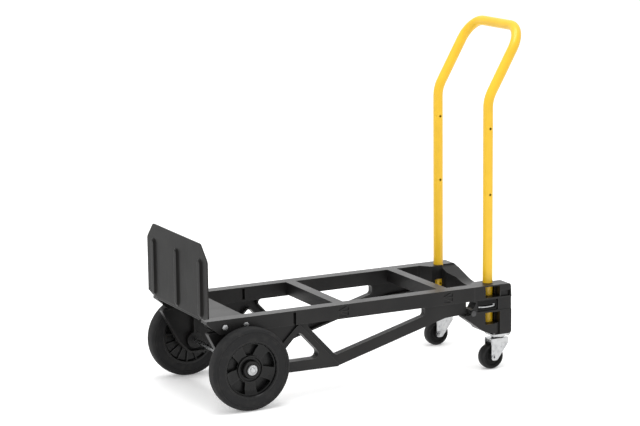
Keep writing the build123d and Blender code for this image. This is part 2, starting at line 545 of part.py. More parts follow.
def caster_bolt():
    """Wheel bolt with a low round head, hollow in the middle."""
    outer = CASTER_Y + FORK_HALF
    bolt = rod_y(CASTER_AXLE_X, CASTER_R, CASTER_BOLT_R, CASTER_Y - FORK_HALF - BOLT_TAIL, outer)
    bolt += rod_y(CASTER_AXLE_X, CASTER_R, CASTER_HEAD_R, outer, outer + CASTER_HEAD)
    hollow_y0 = outer - CASTER_HEAD_R
    return bolt - rod_y(CASTER_AXLE_X, CASTER_R, CASTER_HOLLOW_R, hollow_y0, outer + CASTER_HEAD + 1)


def caster_nut():
    inner = CASTER_Y - FORK_HALF
    nut = hex_y(CASTER_AXLE_X, CASTER_R, CASTER_NUT_R, inner - CASTER_NUT, inner)
    return nut - bore_y(CASTER_AXLE_X, CASTER_R, CASTER_BOLT_R)


def caster_tread():
    half = CASTER_WIDTH / 2
    tread = rod_y(CASTER_AXLE_X, CASTER_R, CASTER_R, CASTER_Y - half, CASTER_Y + half)
    tread = fillet(tread.edges(), TREAD_ROUND)
    return tread - bore_y(CASTER_AXLE_X, CASTER_R, CASTER_CORE_R)


def caster_core():
    half = CASTER_WIDTH / 2
    core = rod_y(CASTER_AXLE_X, CASTER_R, CASTER_CORE_R, CASTER_Y - half + 2, CASTER_Y + half - 2)
    core += rod_y(CASTER_AXLE_X, CASTER_R, CASTER_BOSS_R, CASTER_Y - half - 1, CASTER_Y + half + 1)
    return core - bore_y(CASTER_AXLE_X, CASTER_R, CASTER_BUSH_R)


def caster_bush():
    half = CASTER_WIDTH / 2 + 1
    bush = rod_y(CASTER_AXLE_X, CASTER_R, CASTER_BUSH_R, CASTER_Y - half, CASTER_Y + half)
    return bush - bore_y(CASTER_AXLE_X, CASTER_R, CASTER_BOLT_R + RUNNING_GAP)


# ---- handle and locks -----------------------------------------------------------------
def handle_path():
    """Upright leg, leaning shoulder, top bar and back down."""
    half = [(HANDLE_X, HANDLE_FOOT_Z), (HANDLE_X, HANDLE_BEND_Z), (HANDLE_TOP_X, HANDLE_TOP_Z)]
    points = [(x, HANDLE_Y, z) for x, z in half] + [(x, -HANDLE_Y, z) for x, z in reversed(half)]
    radii = [LEAN_RADIUS, CORNER_RADIUS, CORNER_RADIUS, LEAN_RADIUS]
    return FilletPolyline(*points, radius=radii)


def handle_tube():
    start = Plane((HANDLE_X, HANDLE_Y, HANDLE_FOOT_Z))
    path = handle_path()
    outer = sweep(start * Circle(TUBE_R), path=path)
    inner = sweep(start * Circle(TUBE_R - TUBE_WALL), path=path)
    tube = outer - inner
    for z in LOCK_HOLE_Z:
        tube -= rod_y(HANDLE_X, z, LOCK_HOLE_R, -FAR, FAR)
    return tube


def handle_end_plugs():
    bore = TUBE_R - TUBE_WALL
    plug = rod_z(HANDLE_X, HANDLE_Y, bore, HANDLE_FOOT_Z, HANDLE_FOOT_Z + PLUG)
    plug += rod_z(HANDLE_X, HANDLE_Y, TUBE_R, HANDLE_FOOT_Z - PLUG_FLANGE, HANDLE_FOOT_Z)
    return both_sides([plug])


def lock_pin():
    """Pin whose tip stands just clear of the tube's wall."""
    tip = HANDLE_Y + TUBE_R + TIP_GAP
    pin = rod_y(HANDLE_X, LOCK_Z, LOCK_PIN_R, tip, PULL_Y1 - PULL_GROOVE)
    return pin + rod_y(HANDLE_X, LOCK_Z, COLLAR_R, LOCK_CHAMBER[0], LOCK_CHAMBER[0] + COLLAR)


def lock_spring():
    """Coil between the pin's collar and the guide, which pushes the pin inwards."""
    start = LOCK_CHAMBER[0] + COLLAR + SPRING_WIRE_R + SPRING_GAP
    length = LOCK_CHAMBER[1] - SPRING_WIRE_R - SPRING_GAP - start
    coil = Helix(pitch=length / SPRING_TURNS, height=length, radius=SPRING_R)
    wire = sweep(Plane(origin=coil @ 0, z_dir=coil % 0) * Circle(SPRING_WIRE_R), path=coil)
    return Pos(HANDLE_X, start, LOCK_Z) * Rot(-90, 0, 0) * wire


def lock_pull():
    """Finger bar in the block's middle recess that draws the pin outwards."""
    outline = [(PULL_X0, PULL_Z0, 3), (PULL_X0, PULL_Z1, 3), (PULL_X1, PULL_Z1, 3), (PULL_X1, PULL_Z0, 3)]
    pull = upright_plate(outline, PULL_Y0, PULL_Y1)
    groove = block(PULL_X0 + 2, PULL_X1 - 2, PULL_Y1 - PULL_GROOVE, PULL_Y1 + 1, *GROOVE_Z)
    return pull - groove - rod_y(HANDLE_X, LOCK_Z, LOCK_PIN_R, 0, PULL_Y1 - PULL_GROOVE)


def lock_bail():
    """Bowed wire across the finger bar."""
    y = PULL_Y1 - PULL_GROOVE + BAIL_R + SPRING_GAP
    start, end = (BAIL_X[0], y, BAIL_Z), (BAIL_X[1], y, BAIL_Z)
    bow = ThreePointArc(start, ((start[0] + end[0]) / 2, y + BAIL_BOW, BAIL_Z - BAIL_BOW), end)
    return sweep(Plane(origin=bow @ 0, z_dir=bow % 0) * Circle(BAIL_R), path=bow)


os.makedirs("parts", exist_ok=True)
save_pair("side_frame", side_frame())
save_pair("corner_block", corner_block())
save("cross_brace_toe", cross_brace(BRACE_X[0]))
save("cross_brace_handle", cross_brace(BRACE_X[1]))
save("end_crosshead", end_crosshead())
save("brace_screws", brace_screws())
save("crosshead_screws", crosshead_screws())
save("joint_bolts", joint_bolts())
save("joint_nuts", joint_nuts())
save("toe_plate", toe_plate())
save("toe_bolts", toe_bolts())
save("toe_nuts", toe_nuts())
save("axle", axle())
save("axle_washers", axle_washers())
save("axle_caps", axle_caps())
save_pair("wheel_tyre", wheel_tyre())
save_pair("wheel_hub", wheel_hub())
save_pair("wheel_bushes", wheel_bushes())
save("caster_plate_screws", caster_plate_screws())
save_pair("caster_plate", caster_plate())
save_pair("caster_race", caster_race())
save_pair("caster_kingpin", caster_kingpin())
save_pair("caster_fork", caster_fork())
save_pair("caster_bolt", caster_bolt())
save_pair("caster_nut", caster_nut())
save_pair("caster_tread", caster_tread())
save_pair("caster_core", caster_core())
save_pair("caster_bush", caster_bush())
save("handle_tube", handle_tube())
save("handle_end_plugs", handle_end_plugs())
save_pair("lock_pin", lock_pin())
save_pair("lock_pull", lock_pull())
save_pair("lock_bail", lock_bail())
save_pair("lock_spring", lock_spring())
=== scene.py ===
# %% [markdown]
# # A convertible hand truck, standing as a platform cart
# The imported model holds every part at its real size and place, in metres. This file gives the cart its
# looks: moulded black plastic with softened edges, solid rubber tyres, a pressed steel toe plate, zinc
# fittings and a gloss yellow handle. The first cell loads the model and gives a way to read each part's box.
# Nothing that is made here may grow the cart.

# %% Load the cart
import json
import math

import bmesh
import bpy
from mathutils import Matrix, Vector

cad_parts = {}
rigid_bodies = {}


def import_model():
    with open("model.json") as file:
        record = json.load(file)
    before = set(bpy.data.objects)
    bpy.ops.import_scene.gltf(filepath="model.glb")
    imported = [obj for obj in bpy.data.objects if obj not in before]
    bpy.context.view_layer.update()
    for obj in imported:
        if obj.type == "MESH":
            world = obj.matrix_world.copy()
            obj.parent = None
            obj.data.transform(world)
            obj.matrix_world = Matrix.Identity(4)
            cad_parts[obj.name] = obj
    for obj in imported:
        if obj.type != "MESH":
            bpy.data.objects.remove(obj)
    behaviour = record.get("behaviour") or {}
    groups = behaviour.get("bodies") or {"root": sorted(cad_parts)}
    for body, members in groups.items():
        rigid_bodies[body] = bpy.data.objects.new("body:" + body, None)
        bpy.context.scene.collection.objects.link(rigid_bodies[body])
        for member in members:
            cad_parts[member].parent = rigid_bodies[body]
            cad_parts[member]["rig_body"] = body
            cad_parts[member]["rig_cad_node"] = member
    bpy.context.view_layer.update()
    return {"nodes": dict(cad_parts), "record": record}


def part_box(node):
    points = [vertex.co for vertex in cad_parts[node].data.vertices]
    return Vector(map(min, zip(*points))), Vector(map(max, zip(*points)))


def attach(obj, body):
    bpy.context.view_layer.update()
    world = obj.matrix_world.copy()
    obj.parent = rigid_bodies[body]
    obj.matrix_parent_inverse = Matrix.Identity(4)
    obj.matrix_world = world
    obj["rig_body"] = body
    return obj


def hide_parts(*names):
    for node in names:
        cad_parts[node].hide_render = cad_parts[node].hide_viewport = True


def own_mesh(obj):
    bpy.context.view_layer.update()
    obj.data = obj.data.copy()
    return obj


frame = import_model()
NODES = frame["nodes"]
SIDES = {"left": -1, "right": 1}
MM = 0.001
print("parts loaded:", len(NODES))

# %% [markdown]
# ## Camera, floor and light
# The cart is seen from its left side and a little from the toe plate's end, from a long way off, so a
# long lens keeps its verticals nearly parallel. The room is a plain white sweep: black plastic shows its
# shape almost only by what it mirrors, so an even white surround makes the flat sides dark grey and the
# tops, which are seen at a low angle, much lighter. A soft lamp above adds a direction, and a low one
# behind the cart is what the tops mirror.

# %% Camera
CAMERA_PLACE = Vector((-2.528, -4.856, 1.479))
YAW, DIP, ROLL = math.radians(26.9), math.radians(11.01), math.radians(-0.64)
LENS, SENSOR = 125.5, 36.0

bpy.ops.object.select_all(action="DESELECT")
bpy.ops.object.camera_add()
camera = bpy.context.object
camera.name = "view_camera"
camera.data.lens = LENS
camera.data.sensor_width = SENSOR
aim = Matrix.Rotation(-YAW, 4, "Z") @ Matrix.Rotation(math.pi / 2 - DIP, 4, "X")
camera.matrix_world = Matrix.Translation(CAMERA_PLACE) @ aim @ Matrix.Rotation(ROLL, 4, "Z")
bpy.context.scene.camera = camera
bpy.context.scene.view_settings.view_transform = "Standard"

# %% Floor and surround
FLOOR_SIZE = 40.0
bpy.ops.object.select_all(action="DESELECT")
bpy.ops.mesh.primitive_plane_add(size=FLOOR_SIZE)
floor = bpy.context.object
floor.name = "studio_floor"

world = bpy.data.worlds.new("white_room")
bpy.context.scene.world = world
world.use_nodes = True
world.node_tree.nodes["Background"].inputs["Color"].default_value = (1.0, 1.0, 1.0, 1.0)
world.node_tree.nodes["Background"].inputs["Strength"].default_value = 1.0

# %% Soft lamps
def soft_lamp(name, place, aim, size, watts):
    """A square area lamp at a place, turned towards a point."""
    bpy.ops.object.select_all(action="DESELECT")
    bpy.ops.object.light_add(type="AREA", location=place)
    lamp = bpy.context.object
    lamp.name = name
    lamp.data.size = size
    lamp.data.energy = watts
    lamp.rotation_euler = (Vector(aim) - Vector(place)).to_track_quat("-Z", "Y").to_euler()
    return lamp


soft_lamp("overhead_lamp", (-0.3, -0.4, 3.2), (0.0, 0.0, 0.2), 2.0, 55)
soft_lamp("front_lamp", (-1.4, -4.6, 1.8), (0.0, 0.0, 0.3), 1.6, 4)
back_lamp = soft_lamp("back_lamp", (2.3, 4.6, 1.5), (0.0, 0.0, 0.3), 2.6, 16)
back_lamp.visible_camera = False

# %% [markdown]
# ## Shader maths as plain expressions
# A pattern in a material is arithmetic on numbers that change over the surface. Wiring Math nodes one
# by one hides what they say, so a small class wraps a socket: `a * 0.5 + b` adds the nodes by itself.
# Every other node comes from one method, which sets the node's own settings first and then its inputs.

# %% The shader helpers
class Value:
    """A number or colour that changes over the surface."""

    def __init__(self, finish, socket):
        self.finish = finish
        self.socket = socket

    def math(self, operation, *others):
        values = {i: other for i, other in enumerate((self, *others))}
        return self.finish.node("ShaderNodeMath", {"operation": operation}, values)

    def __add__(self, other):
        return self.math("ADD", other)

    def __mul__(self, other):
        return self.math("MULTIPLY", other)

    def __sub__(self, other):
        return self.math("SUBTRACT", other)

    def __rsub__(self, other):
        return (self * -1.0) + other

    __radd__ = __add__
    __rmul__ = __mul__

    def clamped(self):
        return self.math("MAXIMUM", 0.0).math("MINIMUM", 1.0)

    def between(self, low, high):
        """0 below low and 1 above high, with a smooth step from one to the other."""
        ranges = {"Value": self, "From Min": low, "From Max": high}
        return self.finish.node("ShaderNodeMapRange", {"interpolation_type": "SMOOTHSTEP"}, ranges)


class Finish:
    """A material and the nodes in it."""

    def __init__(self, name, color, roughness, **fixed):
        self.material = bpy.data.materials.new(name)
        self.material.use_nodes = True
        self.tree = self.material.node_tree
        self.surface = self.tree.nodes["Principled BSDF"]
        self.set("Base Color", (*color, 1.0))
        self.set("Roughness", roughness)
        for socket, value in fixed.items():
            self.set(socket.replace("_", " "), value)
        self.place = self.node("ShaderNodeTexCoord", {}, {}, "Object")

    def put(self, socket, value):
        if isinstance(value, Value):
            self.tree.links.new(value.socket, socket)
        else:
            socket.default_value = value

    def set(self, socket, value):
        self.put(self.surface.inputs[socket], value)

    def node(self, kind, settings, inputs, output=0):
        made = self.tree.nodes.new(kind)
        for setting, value in settings.items():
            setattr(made, setting, value)
        for socket, value in inputs.items():
            self.put(made.inputs[socket], value)
        return Value(self, made.outputs[output])

    def noise(self, scale, detail=2.0, stretch=(1.0, 1.0, 1.0)):
        """Cloudy values between 0 and 1; scale is blotches to the metre."""
        place = self.node("ShaderNodeMapping", {}, {"Vector": self.place, "Scale": stretch})
        values = {"Vector": place, "Scale": scale, "Detail": detail}
        return self.node("ShaderNodeTexNoise", {}, values, "Fac")

    def cells(self, scale):
        """Distance to the nearest of many scattered points."""
        return self.node("ShaderNodeTexVoronoi", {}, {"Vector": self.place, "Scale": scale}, "Distance")

    def mix(self, mask, low, high):
        """One colour where the mask is 0 and the other where it is 1; either may change over the surface."""
        low, high = (end if isinstance(end, Value) else (*end, 1.0) for end in (low, high))
        return self.node("ShaderNodeMix", {"data_type": "RGBA"}, {"Factor": mask, 6: low, 7: high}, 2)

    def edges(self, width):
        """1 on corners that stand out within that width, 0 on flat faces: where pale wear and painted
        highlight go.
        """
        settings = {"inside": True, "samples": 8}
        open_inside = self.node("ShaderNodeAmbientOcclusion", settings, {"Distance": width}, "AO")
        return (1 - open_inside).between(0.12, 0.5)

    def painted_shade(self, reach):
        """1 deep in corners and pockets of about that reach, 0 in the open: where painted shade goes."""
        settings = {"samples": 8}
        open_outside = self.node("ShaderNodeAmbientOcclusion", settings, {"Distance": reach}, "AO")
        return (1 - open_outside).between(0.25, 0.85)

    def bump(self, height, distance, strength=1.0):
        """Tilts the surface's normal as a relief of that depth in metres would."""
        values = {"Height": height, "Distance": distance, "Strength": strength}
        self.set("Normal", self.node("ShaderNodeBump", {}, values))


def paint(piece, finish):
    """Puts one finish on a piece, in place of what it has."""
    piece.data.materials.clear()
    piece.data.materials.append(finish.material)


# %% [markdown]
# ## The finishes
# Moulded plastic isn't flat black: the mould's spark-eroded grain breaks its shine into a fine sparkle,
# and handling leaves cloudy patches a little glossier than the rest. So the grain goes to a bump node
# and the clouds to roughness, while colour hardly changes. Corners that stand out are painted a paler
# grey, partly as wear and partly as a painted highlight, and corners that lie deep are painted black as
# painted shade and made duller. Two ambient occlusion nodes find them, one that looks into the wall and
# one that looks out of it. The same thinking, with other scales, gives rubber, powder coat, gloss paint
# and zinc.

# %% Moulded black plastic
# Near black for the painted shade deep in corners, and a paler grey for edges that is partly wear and partly
# painted highlight.
PAINTED_SHADE_BLACK, WORN_AND_HIGHLIGHT_GREY = (0.0015, 0.0015, 0.0015), (0.045, 0.044, 0.043)


def moulded_plastic(name, color, dusty, roughness, grain, shine):
    """Grained plastic, cloudy from handling, with edges painted pale as wear and painted highlight, and
    painted shade in deep corners.
    """
    finish = Finish(name, color, roughness, Specular_IOR_Level=shine)
    clouds = finish.noise(9.0, 4.0)
    fine = finish.noise(grain, 3.0)
    edges, painted_shade = finish.edges(1.6 * MM), finish.painted_shade(22 * MM)
    flat_color = finish.mix(clouds.between(0.35, 0.8), color, dusty)
    # Painted shade: deep corners are painted black. Edges are painted pale, partly as wear and partly as
    # painted highlight.
    with_painted_shade = finish.mix(painted_shade, flat_color, PAINTED_SHADE_BLACK)
    finish.set("Base Color", finish.mix(edges * (clouds * 0.6 + 0.4), with_painted_shade, WORN_AND_HIGHLIGHT_GREY))
    roughness_here = clouds * 0.16 + fine * 0.1 + (roughness - 0.13)
    finish.set("Roughness", (roughness_here + painted_shade * 0.35 - edges * 0.12).clamped())
    finish.bump(fine + finish.cells(grain * 0.6) * 0.5, 0.12 * MM, 0.6)
    return finish


# name, colour, dusty colour, roughness, grain to the metre, shine
FRAME_PLASTIC = moulded_plastic(
    "frame_plastic", (0.0065, 0.0062, 0.0062), (0.0125, 0.012, 0.0115), 0.38, 1500, 0.24)
HUB_PLASTIC = moulded_plastic("hub_plastic", (0.004, 0.004, 0.004), (0.008, 0.0078, 0.0076), 0.26, 1900, 0.24)
SMALL_PLASTIC = moulded_plastic(
    "small_plastic", (0.003, 0.003, 0.003), (0.006, 0.006, 0.0058), 0.46, 2400, 0.14)
BUSH_NYLON = moulded_plastic("bush_nylon", (0.62, 0.60, 0.54), (0.7, 0.69, 0.64), 0.4, 1200, 0.5)


# %% Rubber
def moulded_rubber(name, color, scuffed, roughness):
    """Dull porous rubber with pale scuffs."""
    finish = Finish(name, color, roughness, Specular_IOR_Level=0.2)
    scuffs = finish.noise(60.0, 6.0)
    pores = finish.noise(1100.0, 2.0)
    edges, painted_shade = finish.edges(1.2 * MM), finish.painted_shade(10 * MM)
    worn = finish.mix(scuffs.between(0.45, 0.75), color, scuffed)
    # Edges are painted pale, partly as scuffing and partly as painted highlight; deep corners are painted
    # black as painted shade.
    finish.set("Base Color", finish.mix(edges * 0.8, finish.mix(painted_shade, worn, PAINTED_SHADE_BLACK), WORN_AND_HIGHLIGHT_GREY))
    finish.set("Roughness", scuffs * 0.2 + (roughness - 0.1))
    finish.bump(pores * 0.6 + scuffs, 0.2 * MM, 0.5)
    return finish


TYRE_RUBBER = moulded_rubber("tyre_rubber", (0.013, 0.013, 0.0135), (0.022, 0.0215, 0.021), 0.74)
CASTER_RUBBER = moulded_rubber("caster_rubber", (0.008, 0.008, 0.008), (0.016, 0.0155, 0.015), 0.45)


# %% Powder-coated steel
# The powder coat's edges are painted this paler grey, partly as wear to steel and partly as painted
# highlight.
WORN_STEEL_AND_HIGHLIGHT = (0.09, 0.088, 0.085)


def toe_paint():
    """Black powder coat with orange peel, rubbed where loads slide, and painted paler on its edges, partly as
    wear to steel and partly as painted highlight.
    """
    finish = Finish("toe_powder_coat", (0.012, 0.0118, 0.0115), 0.34, Specular_IOR_Level=0.06)
    clouds = finish.noise(14.0, 5.0)
    orange_peel = finish.noise(420.0, 1.0)
    rubs = finish.noise(35.0, 8.0, (1.0, 3.0, 0.4))
    coated = finish.mix(rubs.between(0.5, 0.8), (0.008, 0.0078, 0.0074), (0.015, 0.0144, 0.0137))
    # Edges painted paler: partly wear to steel, partly painted highlight.
    finish.set("Base Color", finish.mix(finish.edges(1.2 * MM), coated, WORN_STEEL_AND_HIGHLIGHT))
    finish.set("Roughness", clouds * 0.16 + 0.24)
    finish.bump(orange_peel, 0.25 * MM, 0.5)
    return finish


TOE_PAINT = toe_paint()


# %% Gloss yellow paint on the tube
def handle_paint():
    """Yellow paint that varies a little in colour and gloss along the tube."""
    finish = Finish("handle_gloss_paint", (0.82, 0.48, 0.010), 0.38, Coat_Weight=0.05, Coat_Roughness=0.08)
    clouds = finish.noise(24.0, 4.0)
    finish.set("Base Color", finish.mix(clouds.between(0.3, 0.8), (0.76, 0.465, 0.012), (0.70, 0.42, 0.009)))
    finish.set("Roughness", clouds * 0.12 + 0.3)
    finish.bump(finish.noise(520.0, 1.0), 0.16 * MM, 0.35)
    return finish


HANDLE_PAINT = handle_paint()


# %% Zinc plate and bare steel
def plated_steel(name, color, dull, roughness):
    """Metal with a cloudy bloom and fine scratches."""
    finish = Finish(name, color, roughness, Metallic=1.0)
    bloom = finish.noise(130.0, 6.0)
    scratches = finish.noise(900.0, 2.0, (1.0, 0.15, 1.0))
    finish.set("Base Color", finish.mix(bloom.between(0.4, 0.75), color, dull))
    finish.set("Roughness", bloom * 0.18 + scratches * 0.1 + (roughness - 0.1))
    finish.bump(bloom + scratches * 0.5, 0.05 * MM, 0.35)
    return finish


ZINC = plated_steel("zinc_plate", (0.46, 0.465, 0.47), (0.35, 0.355, 0.36), 0.22)
AXLE_STEEL = plated_steel("axle_steel", (0.40, 0.40, 0.40), (0.28, 0.27, 0.26), 0.36)
DARK_STEEL = plated_steel("dark_steel", (0.085, 0.085, 0.087), (0.055, 0.054, 0.053), 0.42)

# %% The floor's paint, with a faint glow that keeps the shadows light
FLOOR_GLOW = 0.22
FLOOR_PAINT = Finish("floor_white", (0.93, 0.93, 0.93), 0.8)
FLOOR_PAINT.set("Roughness", FLOOR_PAINT.noise(3.0) * 0.1 + 0.75)
FLOOR_PAINT.set("Emission Color", (1.0, 1.0, 1.0, 1.0))
FLOOR_PAINT.set("Emission Strength", FLOOR_GLOW)
paint(floor, FLOOR_PAINT)

# %% [markdown]
# ## Modelling helpers
# Pieces are made as by hand: a primitive is added at its size and place, shaped in edit mode, and
# finished with modifiers that are then applied. These helpers hold the few moves that every piece
# needs: start with nothing selected, choose corners by their place, apply a modifier, and hand the
# finished piece to the body it moves with.

# %% Select, apply and hand over
def start_clean():
    if bpy.context.object and bpy.context.object.mode != "OBJECT":
        bpy.ops.object.mode_set(mode="OBJECT")
    bpy.ops.object.select_all(action="DESELECT")


def pick(piece):
    """Makes one object the selected and active one."""
    start_clean()
    piece.select_set(True)
    bpy.context.view_layer.objects.active = piece


def choose_corners(piece, wanted):
    """In edit mode, selects the vertices for which wanted(vertex) is true."""
    bpy.ops.mesh.select_mode(type="VERT")
    bpy.ops.mesh.select_all(action="DESELECT")
    shape = bmesh.from_edit_mesh(piece.data)
    for corner in shape.verts:
        if wanted(corner):
            corner.select_set(True)
    bmesh.update_edit_mesh(piece.data)


def modify(piece, kind, **settings):
    """Adds a modifier with these settings and applies it."""
    pick(piece)
    modifier = piece.modifiers.new(kind.lower(), kind)
    for setting, value in settings.items():
        setattr(modifier, setting, value)
    bpy.ops.object.modifier_apply(modifier=modifier.name)


def soften(piece, width, steps=2, angle=35):
    """Rounds every edge sharper than the angle."""
    modify(piece, "BEVEL", width=width, segments=steps, limit_method="ANGLE",
           angle_limit=math.radians(angle), harden_normals=False, use_clamp_overlap=True)


def shade(piece, angle=35):
    """Smooth shading in which the large flat faces stay flat up to their rounded edges."""
    pick(piece)
    bpy.ops.object.shade_smooth_by_angle(angle=math.radians(angle))
    modify(piece, "WEIGHTED_NORMAL", weight=80, keep_sharp=True)


def finish_piece(piece, body, finish, slot, *nodes):
    """The finished piece moves with a body and stands for these nodes of the model."""
    pick(piece)
    bpy.ops.object.transform_apply(location=True, rotation=True, scale=True)
    paint(piece, finish)
    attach(piece, body)
    if nodes:
        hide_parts(*nodes)
    print(piece.name, "faces:", len(piece.data.polygons))


def middle(node):
    """The centre of a node's box."""
    low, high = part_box(node)
    return (low + high) / 2


# %% [markdown]
# ## Moulded and bent parts that keep the model's shape
# The side frames, blocks, braces, crosshead, finger bars, hubs, axle, caps, plates, forks and larger
# bolts already have their true shape in the model, but every edge there is knife sharp, and no real
# part has such an edge: the small radius is what catches a line of light. A model part's mesh is loose
# triangles, so each is copied, its corners are merged, flat regions are dissolved into single faces,
# and the edges are rounded.

# %% Soften a copy of a model part
def softened(node, name, width, steps=2, angle=35):
    """A copy of a model part with clean faces and rounded edges."""
    original = NODES[node]
    piece = original.copy()
    piece.data = original.data.copy()
    piece.name = name
    piece.parent = None
    piece.matrix_world = Matrix.Identity(4)
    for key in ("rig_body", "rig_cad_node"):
        del piece[key]
    bpy.context.scene.collection.objects.link(piece)
    pick(piece)
    bpy.ops.object.mode_set(mode="EDIT")
    bpy.ops.mesh.select_all(action="SELECT")
    bpy.ops.mesh.remove_doubles(threshold=0.01 * MM)
    bpy.ops.mesh.customdata_custom_splitnormals_clear()
    bpy.ops.mesh.mark_sharp(clear=True)
    bpy.ops.mesh.dissolve_limited(angle_limit=math.radians(0.8))
    bpy.ops.object.mode_set(mode="OBJECT")
    soften(piece, width, steps, angle)
    shade(piece)
    return piece


SOFT_PARTS = [
    # model part, body, finish, slot, edge radius; {side} stands for left, then right
    ("side_frame_{side}", "frame", FRAME_PLASTIC, "frame_plastic", 1.2 * MM),
    ("corner_block_{side}", "frame", FRAME_PLASTIC, "frame_plastic", 1.2 * MM),
    ("cross_brace_toe", "frame", FRAME_PLASTIC, "frame_plastic", 1.2 * MM),
    ("cross_brace_handle", "frame", FRAME_PLASTIC, "frame_plastic", 1.2 * MM),
    ("end_crosshead", "frame", FRAME_PLASTIC, "frame_plastic", 1.2 * MM),
    ("lock_pull_{side}", "lock_{side}", SMALL_PLASTIC, "frame_plastic", 0.6 * MM),
    ("wheel_hub_{side}", "wheel_{side}", HUB_PLASTIC, "hub_plastic", 0.6 * MM),
    ("axle_caps", "frame", ZINC, "zinc_plate", 0.25 * MM),
    ("axle", "frame", ZINC, "axle_steel", 0.3 * MM),
    ("caster_plate_{side}", "frame", ZINC, "zinc_plate", 0.5 * MM),
    ("caster_fork_{side}", "caster_swivel_{side}", ZINC, "zinc_plate", 0.7 * MM),
    ("toe_bolts", "frame", ZINC, "zinc_plate", 0.6 * MM),
    ("joint_bolts", "frame", DARK_STEEL, "dark_steel", 0.6 * MM),
]
for pattern, body, finish, slot, width in SOFT_PARTS:
    for side in SIDES if "{side}" in pattern else ("",):
        node = pattern.format(side=side)
        piece = softened(node, "soft_" + node, width)
        finish_piece(piece, body.format(side=side), finish, slot, node)

# %% [markdown]
# ## Wheels turned from one outline
# A tyre is the same all the way round, so it's enough to draw half a slice of it. The slice starts as
# one corner, is drawn on by extruding that corner from point to point, and is then spun about the axle.
# The fine rings on the side are less than a millimetre high, yet each catches a line of light.

# %% Draw a slice and spin it
SPIN_STEPS = 128


def turned(name, centre, outline):
    """A closed ring spun about a line across the cart; outline holds (radius, across) in millimetres."""
    start_clean()
    bpy.ops.mesh.primitive_plane_add(size=MM, location=centre)
    ring = bpy.context.object
    ring.name = name
    pick(ring)
    bpy.ops.object.transform_apply(location=True, rotation=True, scale=True)
    bpy.ops.object.mode_set(mode="EDIT")
    bpy.ops.mesh.select_all(action="SELECT")
    bpy.ops.mesh.merge(type="CENTER")
    bpy.ops.transform.translate(value=(0, outline[0][1] * MM, outline[0][0] * MM))
    for (radius, across), (next_radius, next_across) in zip(outline, outline[1:]):
        step = (0, (next_across - across) * MM, (next_radius - radius) * MM)
        bpy.ops.mesh.extrude_vertices_move(TRANSFORM_OT_translate={"value": step})
    bpy.ops.mesh.select_all(action="SELECT")
    bpy.ops.mesh.spin(steps=SPIN_STEPS, angle=math.tau, center=centre, axis=(0, 1, 0))
    bpy.ops.mesh.select_all(action="SELECT")
    bpy.ops.mesh.remove_doubles(threshold=0.005 * MM)
    bpy.ops.mesh.normals_make_consistent(inside=False)
    bpy.ops.object.mode_set(mode="OBJECT")
    return ring


def both_halves(half):
    """A slice's whole outline from its outer half, which runs from the bore to the tread's middle."""
    inner = [(radius, -across) for radius, across in reversed(half[:-1])]
    return half + inner + [half[0]]


# %% The solid rubber tyres
TYRE_BORE, TYRE_SIDE, TYRE_R = 70.6, 18.2, 101.6
TYRE_HALF = [
    # bore, rim seat and flat side
    (TYRE_BORE, 16.9), (71.4, 17.8), (76.0, TYRE_SIDE), (87.4, TYRE_SIDE),
    # two fine rings
    (88.0, 18.95), (89.4, 18.95), (90.0, TYRE_SIDE), (92.8, 17.9),
    (93.3, 18.6), (94.3, 18.5), (94.8, 17.7),
    # rounded shoulder and crowned tread
    (96.8, 17.1), (98.9, 15.6), (100.3, 13.3), (100.9, 10.5), (101.4, 5.5), (TYRE_R, 0.0),
]
for side in SIDES:
    tyre = turned(f"tyre_{side}", middle(f"wheel_tyre_{side}"), both_halves(TYRE_HALF))
    shade(tyre, 30)
    finish_piece(tyre, f"wheel_{side}", TYRE_RUBBER, "tyre_rubber", f"wheel_tyre_{side}")

# %% The casters' treads and cores
TREAD_HALF = [
    (25.0, 11.2), (25.6, 12.0), (27.4, 12.4), (28.6, 12.1),
    (30.6, 10.6), (31.7, 8.2), (32.3, 4.5), (32.5, 0.0),
]
CORE_HALF = [
    (6.5, 13.5), (9.4, 13.5), (10.0, 12.9), (10.0, 9.4), (11.0, 8.4),
    (20.6, 8.4), (21.8, 10.0), (24.4, 10.5), (25.0, 10.0), (25.0, 0.0),
]
for side in SIDES:
    body = f"caster_wheel_{side}"
    tread = turned(f"tread_{side}", middle(f"caster_tread_{side}"), both_halves(TREAD_HALF))
    shade(tread, 30)
    finish_piece(tread, body, CASTER_RUBBER, "caster_rubber", f"caster_tread_{side}")
    core = turned(f"core_{side}", middle(f"caster_core_{side}"), both_halves(CORE_HALF))
    shade(core, 30)
    finish_piece(core, body, SMALL_PLASTIC, "caster_plastic", f"caster_core_{side}")

# %% [markdown]
# ## The pressed toe plate
# The plate is one sheet of steel with three long beads pressed into it, which stiffen it. A press never
# leaves a sharp corner: each bead swells out of the sheet in a smooth slope. So the sheet starts as a
# fine grid, the points inside each bead are moved out a little at a time, in ever smaller outlines, and
# the sheet gets its thickness last. The flange and tabs below the bend keep the model's shape.

# %% Cut tools for a flat sheet
def cut_away(piece, point, direction, fill=False):
    """Cuts a piece along a plane and drops what lies beyond it."""
    pick(piece)
    bpy.ops.object.mode_set(mode="EDIT")
    bpy.ops.mesh.select_all(action="SELECT")
    bpy.ops.mesh.bisect(plane_co=point, plane_no=direction, use_fill=fill, clear_outer=True)
    bpy.ops.object.mode_set(mode="OBJECT")


